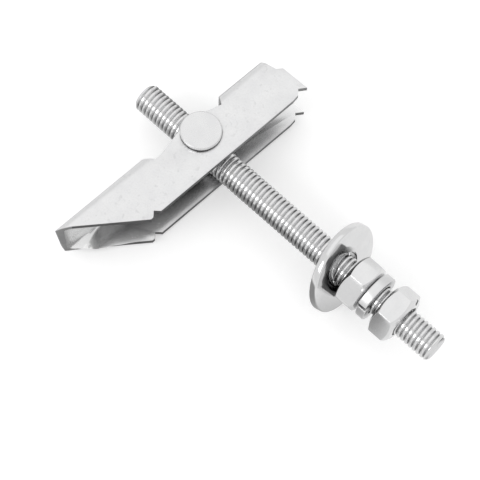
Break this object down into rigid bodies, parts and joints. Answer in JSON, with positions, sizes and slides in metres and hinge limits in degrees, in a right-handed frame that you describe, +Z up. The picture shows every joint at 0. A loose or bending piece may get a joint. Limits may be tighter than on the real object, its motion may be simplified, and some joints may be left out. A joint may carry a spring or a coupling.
{
  "type": "gravity toggle bolt",
  "caption": "Folded steel channel toggle that swings on a cross nut, on a fully threaded rod with plain and spring washers and hexagon nuts.",
  "frame": {"origin": "centre of the bounding box, at the ground under the bolt as it lies", "axes": "+X along the rod from the toggle to the nuts, +Z up from the ground it lies on, with the pin axis near +Z"},
  "size_m": [0.1002, 0.072, 0.0233],
  "materials": {
    "bright_zinc_rod": "bright zinc plate on a rolled thread",
    "bright_zinc_cross_nut": "bright zinc plate, turned",
    "bright_zinc_channel": "bright zinc plate on folded sheet, faintly mottled",
    "bright_zinc_washer": "bright zinc plate, punched",
    "bright_zinc_nut": "bright zinc plate, smooth",
    "bright_zinc_spring_washer": "bright zinc plate over hardened spring steel"
  },
  "bodies": {
    "rod": {"threaded_rod": "bright_zinc_rod"},
    "cross_nut": {"cross_nut": "bright_zinc_cross_nut"},
    "toggle": {"toggle_channel": "bright_zinc_channel"},
    "inner_nut": {"hex_nut_inner": "bright_zinc_nut"},
    "flat_washer": {"flat_washer": "bright_zinc_washer"},
    "spring_washer": {"spring_washer": "bright_zinc_spring_washer"},
    "outer_nut": {"hex_nut_outer": "bright_zinc_nut"}
  },
  "joints": [
    {"name": "cross_nut_travel", "type": "slide", "parent": "rod", "child": "cross_nut", "axis": [-0.9987, 0.0007, -0.0504], "range_m": [-0.012, 0.013]},
    {"name": "toggle_swing", "type": "hinge", "parent": "cross_nut", "child": "toggle", "pos_m": [-0.02966, 0.00807, 0.00923], "axis": [-0.0504, -0.029, 0.9983], "range_deg": [-54, 49]},
    {"name": "inner_nut_travel", "type": "slide", "parent": "rod", "child": "inner_nut", "axis": [-0.9987, 0.0007, -0.0504], "range_m": [0, 0.016]},
    {"name": "flat_washer_travel", "type": "slide", "parent": "inner_nut", "child": "flat_washer", "axis": [-0.9987, 0.0007, -0.0504], "range_m": [0, 0.008]},
    {"name": "spring_washer_travel", "type": "slide", "parent": "rod", "child": "spring_washer", "axis": [0.9987, -0.0007, 0.0504], "range_m": [-0.0001, 0.0014]},
    {"name": "outer_nut_travel", "type": "slide", "parent": "rod", "child": "outer_nut", "axis": [0.9987, -0.0007, 0.0504], "range_m": [-0.0014, 0.0099]}
  ]
}
